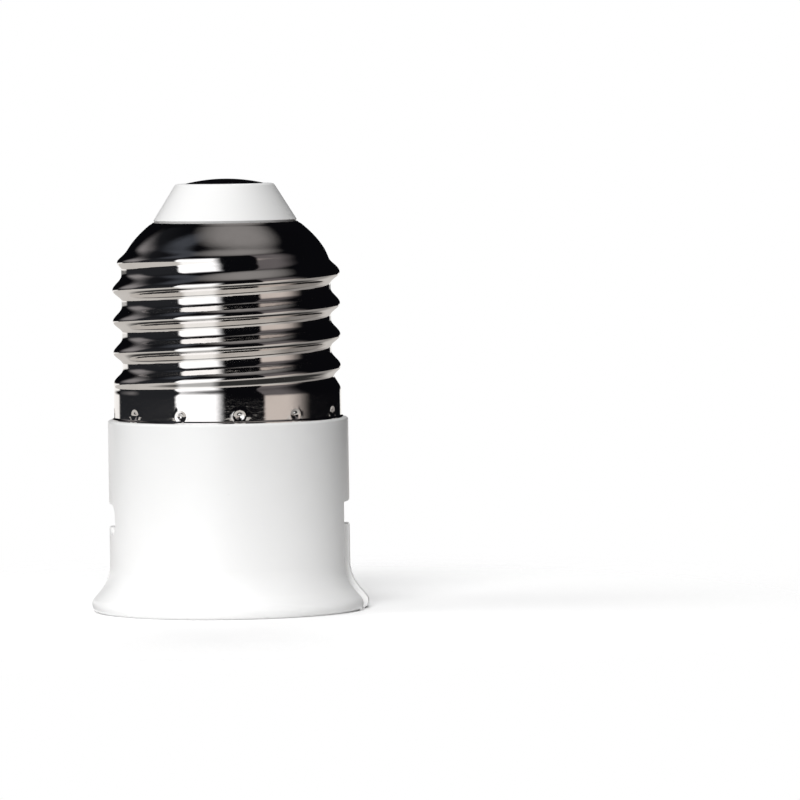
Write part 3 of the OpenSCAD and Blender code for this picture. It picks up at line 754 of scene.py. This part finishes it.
def metal(name, colour, roughness, grain, stretch=(1, 1, 6), tint=None):
    paint = Paint(name)
    mottle, lines = paint.noise(260, 4), paint.noise(900, 3, stretch=stretch)
    tint = tint or [c * 0.93 for c in colour]
    paint.set({"Metallic": 1.0, "Base Color": paint.mix(mottle.above(0.4, 0.75), colour, tint),
               "Roughness": roughness + mottle * roughness * 0.6 + lines.above(0.5, 0.8) * roughness * 0.5,
               "Normal": paint.bump(lines + mottle * 0.6, grain, METAL_RELIEF)})
    return paint.material


white_plastic = plastic("white_gloss_moulding", (0.88, 0.88, 0.876), 0.26, 0.12)
insulator_plastic = plastic("white_tip_moulding", (0.87, 0.87, 0.865), 0.3, 0.12)
carrier_plastic = plastic("satin_white_moulding", (0.80, 0.80, 0.79), 0.45, 0.25)
nickel = metal("bright_nickel_plate", (0.86, 0.84, 0.82), 0.045, 0.6, stretch=(1, 1, 3))
contact_metal = metal("bright_contact_plate", (0.72, 0.72, 0.74), 0.12, 0.2, stretch=(1, 1, 1))
plunger_brass = metal("turned_copper_brass", (0.88, 0.50, 0.20), 0.24, 0.5, tint=(0.70, 0.33, 0.12))
terminal_brass = metal("pressed_brass", (0.78, 0.58, 0.27), 0.3, 0.3, tint=(0.60, 0.42, 0.18))
spring_steel = metal("drawn_spring_wire", (0.52, 0.52, 0.53), 0.25, 0.3)
screw_steel = metal("zinc_plated_steel", (0.60, 0.61, 0.62), 0.3, 0.3)
lead_red = plastic("red_lead_insulation", (0.55, 0.03, 0.02), 0.45, 0.3)

mesh_finish = [(housing, white_plastic), (screw_shell, nickel), (tip_insulator, insulator_plastic),
               (centre_contact, contact_metal)]
mesh_finish += [(plunger, plunger_brass) for plunger in plungers]
mesh_finish += [(spring, spring_steel) for spring in springs]
for piece, material in mesh_finish:
    piece.data.materials.append(material)

CAD_FINISH = {"contact_carrier": carrier_plastic, "shell_strip": terminal_brass, "centre_lead": lead_red,
              "terminal_a": terminal_brass, "terminal_b": terminal_brass,
              "terminal_screw_a": screw_steel, "terminal_screw_b": screw_steel}
for name, material in CAD_FINISH.items():
    node = nodes[name]
    if not node.material_slots:
        node.data.materials.append(material)
    for slot in node.material_slots:
        slot.link = "OBJECT"
        slot.material = material
    edge = node.modifiers.new("softened_edges", "BEVEL")
    edge.width, edge.segments = 0.08 * MM, 2
    edge.limit_method, edge.angle_limit = "ANGLE", radians(40)

# The camera, in metres: it stands twelve degrees round to the left of the plungers' axis, about 10 mm
# above the tip, and looks down at a point to the right of the adapter
AZIMUTH, ROLL = radians(-12), radians(-0.8)
TOWARDS = Vector((sin(AZIMUTH), -cos(AZIMUTH), 0))
RIGHT = Vector((cos(AZIMUTH), sin(AZIMUTH), 0))
UP = Vector((0, 0, 1))
DISTANCE, CAMERA_Z, AIM_RIGHT, AIM_Z = 0.750, 0.0603, 0.0200, 0.0240
LENS, SENSOR_W, CLIP_START, CLIP_END = 290.9, 36, 0.01, 20
camera_data = bpy.data.cameras.new("camera")
camera = bpy.data.objects.new("camera", camera_data)
bpy.context.collection.objects.link(camera)
bpy.context.scene.camera = camera
camera_data.lens, camera_data.sensor_width = LENS, SENSOR_W
camera_data.clip_start, camera_data.clip_end = CLIP_START, CLIP_END
camera.location = TOWARDS * DISTANCE + UP * CAMERA_Z
aim = RIGHT * AIM_RIGHT + UP * AIM_Z
look = (aim - camera.location).to_track_quat("-Z", "Y")
camera.rotation_mode = "QUATERNION"
camera.rotation_quaternion = look @ Matrix.Rotation(ROLL, 4, "Z").to_quaternion()

# The studio: a pale floor, white surroundings, and tones that only the metal mirrors. Lengths in metres.
DOME_R, DOME_Z, TABLE_Z = 0.30, 0.0005, 0.0004
WINDOW_R, WINDOW_EDGE = 0.0150, 0.0003  # the clear window under the mouth, in mirrored table and floor
FLOOR_REACH, FLOOR_Z = 6, -0.00003
FADE_START, FADE_END = 0.022, 0.09  # from the axis: here the floor starts to clear, and here it is gone


def stage_mesh(name, points, faces):
    mesh = bpy.data.meshes.new(name)
    mesh.from_pydata(points, [], faces)
    thing = bpy.data.objects.new(name, mesh)
    bpy.context.collection.objects.link(thing)
    return thing


def show_tones(thing, paint, colour):
    """Lets a thing glow in its own colour, for glossy rays only."""
    paint.set({"Base Color": (0, 0, 0), "Roughness": 1.0, "Specular IOR Level": 0.0,
               "Emission Color": colour, "Emission Strength": 1.0})
    thing.data.materials.append(paint.material)
    thing.visible_camera = thing.visible_diffuse = thing.visible_shadow = False
    thing.visible_transmission = thing.visible_volume_scatter = False


def make_dome():
    """The studio as the metal mirrors it: a dome of tones by height and by bearing.

    The bearing is 0 on the camera's side and grows to the picture's right, in degrees like the height.
    """
    rings, sides = 16, 48
    points = []
    for i in range(rings):
        a = pi / 2 * i / rings
        points += [Vector(around(2 * pi * j / sides, cos(a), sin(a))) * DOME_R + UP * DOME_Z
                   for j in range(sides)]
    points.append(UP * DOME_R)
    faces = ring_faces(rings, sides)
    last = (rings - 1) * sides
    faces += [(last + j, last + (j + 1) % sides, rings * sides) for j in range(sides)]
    dome = stage_mesh("mirrored_dome", points, faces)
    for face in dome.data.polygons:
        face.use_smooth = True

    paint = Paint("studio_tones")
    point = paint.place()
    across, ahead, high = (point.dot(way) for way in (RIGHT, TOWARDS, UP))
    level = across * across + ahead * ahead
    bearing, height = across.angle(ahead), high.angle(level.maths("POWER", 0.5))
    from_axis = (level + high * high).maths("POWER", 0.5)
    lit_top = point.dot((TOWARDS * 0.05 + RIGHT * 0.14 + UP).normalized()) / from_axis
    warm_wall = bearing.above(35, 39) * bearing.below(58, 92)
    behind = bearing.above(156, 160) + bearing.below(-144, -138)
    tones = (
        # the dark wall on the left, with a grey card low on it and a faint one high up
        (bearing.between(-139, -54, 2) * height.below(20, 75), (0.018, 0.019, 0.022)),
        (bearing.between(-138, -108, 9) * height.between(14, 40, 9), (0.26, 0.245, 0.25)),
        (bearing.between(-104, -66, 12) * height.between(52, 76, 10), (0.055, 0.060, 0.072)),
        # the warm wall on the right, dim above and bright below
        (warm_wall * height.below(40, 70), (0.13, 0.118, 0.122)),
        (warm_wall * height.below(4, 26), (0.62, 0.55, 0.51)),
        # the bright window in front on the left, the soft light overhead and the low band behind
        (bearing.above(-55, -51) * bearing.below(-14, -2) * height.below(22, 50), (1.35, 1.35, 1.38)),
        (lit_top.above(0.87, 1.0), (0.25, 0.238, 0.235)),
        (behind * height.below(3, 7), (1.0, 0.98, 0.96)),
    )
    colour = (0.003, 0.003, 0.004)
    for share, tone in tones:
        colour = paint.mix(share, colour, tone)
    show_tones(dome, paint, colour)


def make_mirrored_table():
    """The table as the metal mirrors it, a shade darker than the camera sees it: a painted reflection of
    the floor, with painted shade near the adapter and towards the right, and painted light on the window's
    bearing.
    """
    sides = 48
    points = [Vector(around(2 * pi * j / sides, 1, 0)) * r + UP * TABLE_Z
              for r in (WINDOW_R, DOME_R) for j in range(sides)]
    table = stage_mesh("mirrored_table", points, ring_faces(2, sides))
    paint = Paint("table_tones")
    point = paint.place()
    bearing = point.dot(RIGHT).angle(point.dot(TOWARDS))
    # Painted light and shade, seen only in mirrors: a brighter wedge on the window's bearing is painted
    # light. An almost black ring near the adapter and a darker span on the right-hand bearings are painted
    # shade.
    lit = bearing.above(-52, -44) * bearing.below(-16, -4)
    near = paint.mix(lit, (0.03, 0.03, 0.03), (0.50, 0.50, 0.50))
    far = paint.mix(lit, (0.60, 0.575, 0.55), (1.15, 1.15, 1.15))
    far = paint.mix(bearing.above(45, 75) * bearing.below(120, 150), far, (0.30, 0.285, 0.275))
    show_tones(table, paint, paint.mix(point.length().above(0.038, 0.066), near, far))


def make_floor():
    """The pale floor, which keeps the shadow. It is clear far out, in its window and from below."""
    corners = [Vector((x, y, 0)) * FLOOR_REACH for x, y in ((-1, -1), (1, -1), (1, 1), (-1, 1))]
    floor = stage_mesh("floor", corners, [(0, 1, 2, 3)])
    floor.location.z = FLOOR_Z
    paint = Paint("pale_floor")
    paint.set({"Base Color": (0.96, 0.96, 0.96), "Roughness": 0.9, "Specular IOR Level": 0.0})
    from_axis = paint.place().length()
    faded = from_axis.above(FADE_START, FADE_END)
    window = from_axis.below(WINDOW_R, WINDOW_R + WINDOW_EDGE)
    underside = paint.node("NewGeometry", {}, {}, "Backfacing")
    share = faded.maths("MAXIMUM", underside).maths("MAXIMUM", window)
    clear = paint.node("BsdfTransparent", {}, {})
    blend = paint.node("MixShader", {}, {0: share, 1: Wire(paint, paint.shader.outputs[0]), 2: clear})
    paint.feed(paint.tree.nodes["Material Output"].inputs["Surface"], blend)
    floor.data.materials.append(paint.material)


def make_world():
    """Full white for the camera, mirrors and clear pieces, and a faint white light on everything else."""
    world = bpy.data.worlds.new("studio")
    bpy.context.scene.world = world
    world.use_nodes = True
    graph = Graph(world.node_tree)
    graph.tree.nodes.clear()
    from_camera, from_mirror, from_clear = (graph.node("LightPath", {}, {}, f"Is {kind} Ray")
                                            for kind in ("Camera", "Glossy", "Transmission"))
    seen = from_camera.maths("MAXIMUM", from_mirror).maths("MAXIMUM", from_clear)
    ambient, backdrop = (graph.node("Background", {}, {"Color": (1, 1, 1), "Strength": strength})
                         for strength in (0.05, 1.0))
    output = graph.tree.nodes.new("ShaderNodeOutputWorld")
    graph.feed(output.inputs["Surface"], graph.node("MixShader", {}, {0: seen, 1: ambient, 2: backdrop}))


def lamp(name, azimuth, height, distance, size, power):
    """A round lamp aimed at the adapter, with its azimuth in degrees from the camera's side."""
    data = bpy.data.lights.new(name, "AREA")
    data.shape, data.size, data.energy = "DISK", size, power
    thing = bpy.data.objects.new(name, data)
    bpy.context.collection.objects.link(thing)
    a = radians(azimuth)
    thing.location = (TOWARDS * cos(a) + RIGHT * sin(a)) * distance + UP * height
    thing.rotation_euler = (Vector((0, 0, 0.02)) - thing.location).to_track_quat("-Z", "Y").to_euler()
    thing.visible_glossy = thing.visible_camera = False


make_dome()
make_mirrored_table()
make_floor()
make_world()
lamp("left_light", -80, 0.6, 1.04, 0.7, 4.1)
lamp("front_light", -12, 0.69, 0.98, 0.7, 11.9)
lamp("top_light", 0, 1.2, 0.01, 0.9, 4.6)
lamp("back_light", 178, 0.7, 0.98, 0.7, 4.5)
lamp("table_light", 0, -0.05, 0, 0.12, 0.036)

bpy.context.scene.view_settings.view_transform = "Standard"
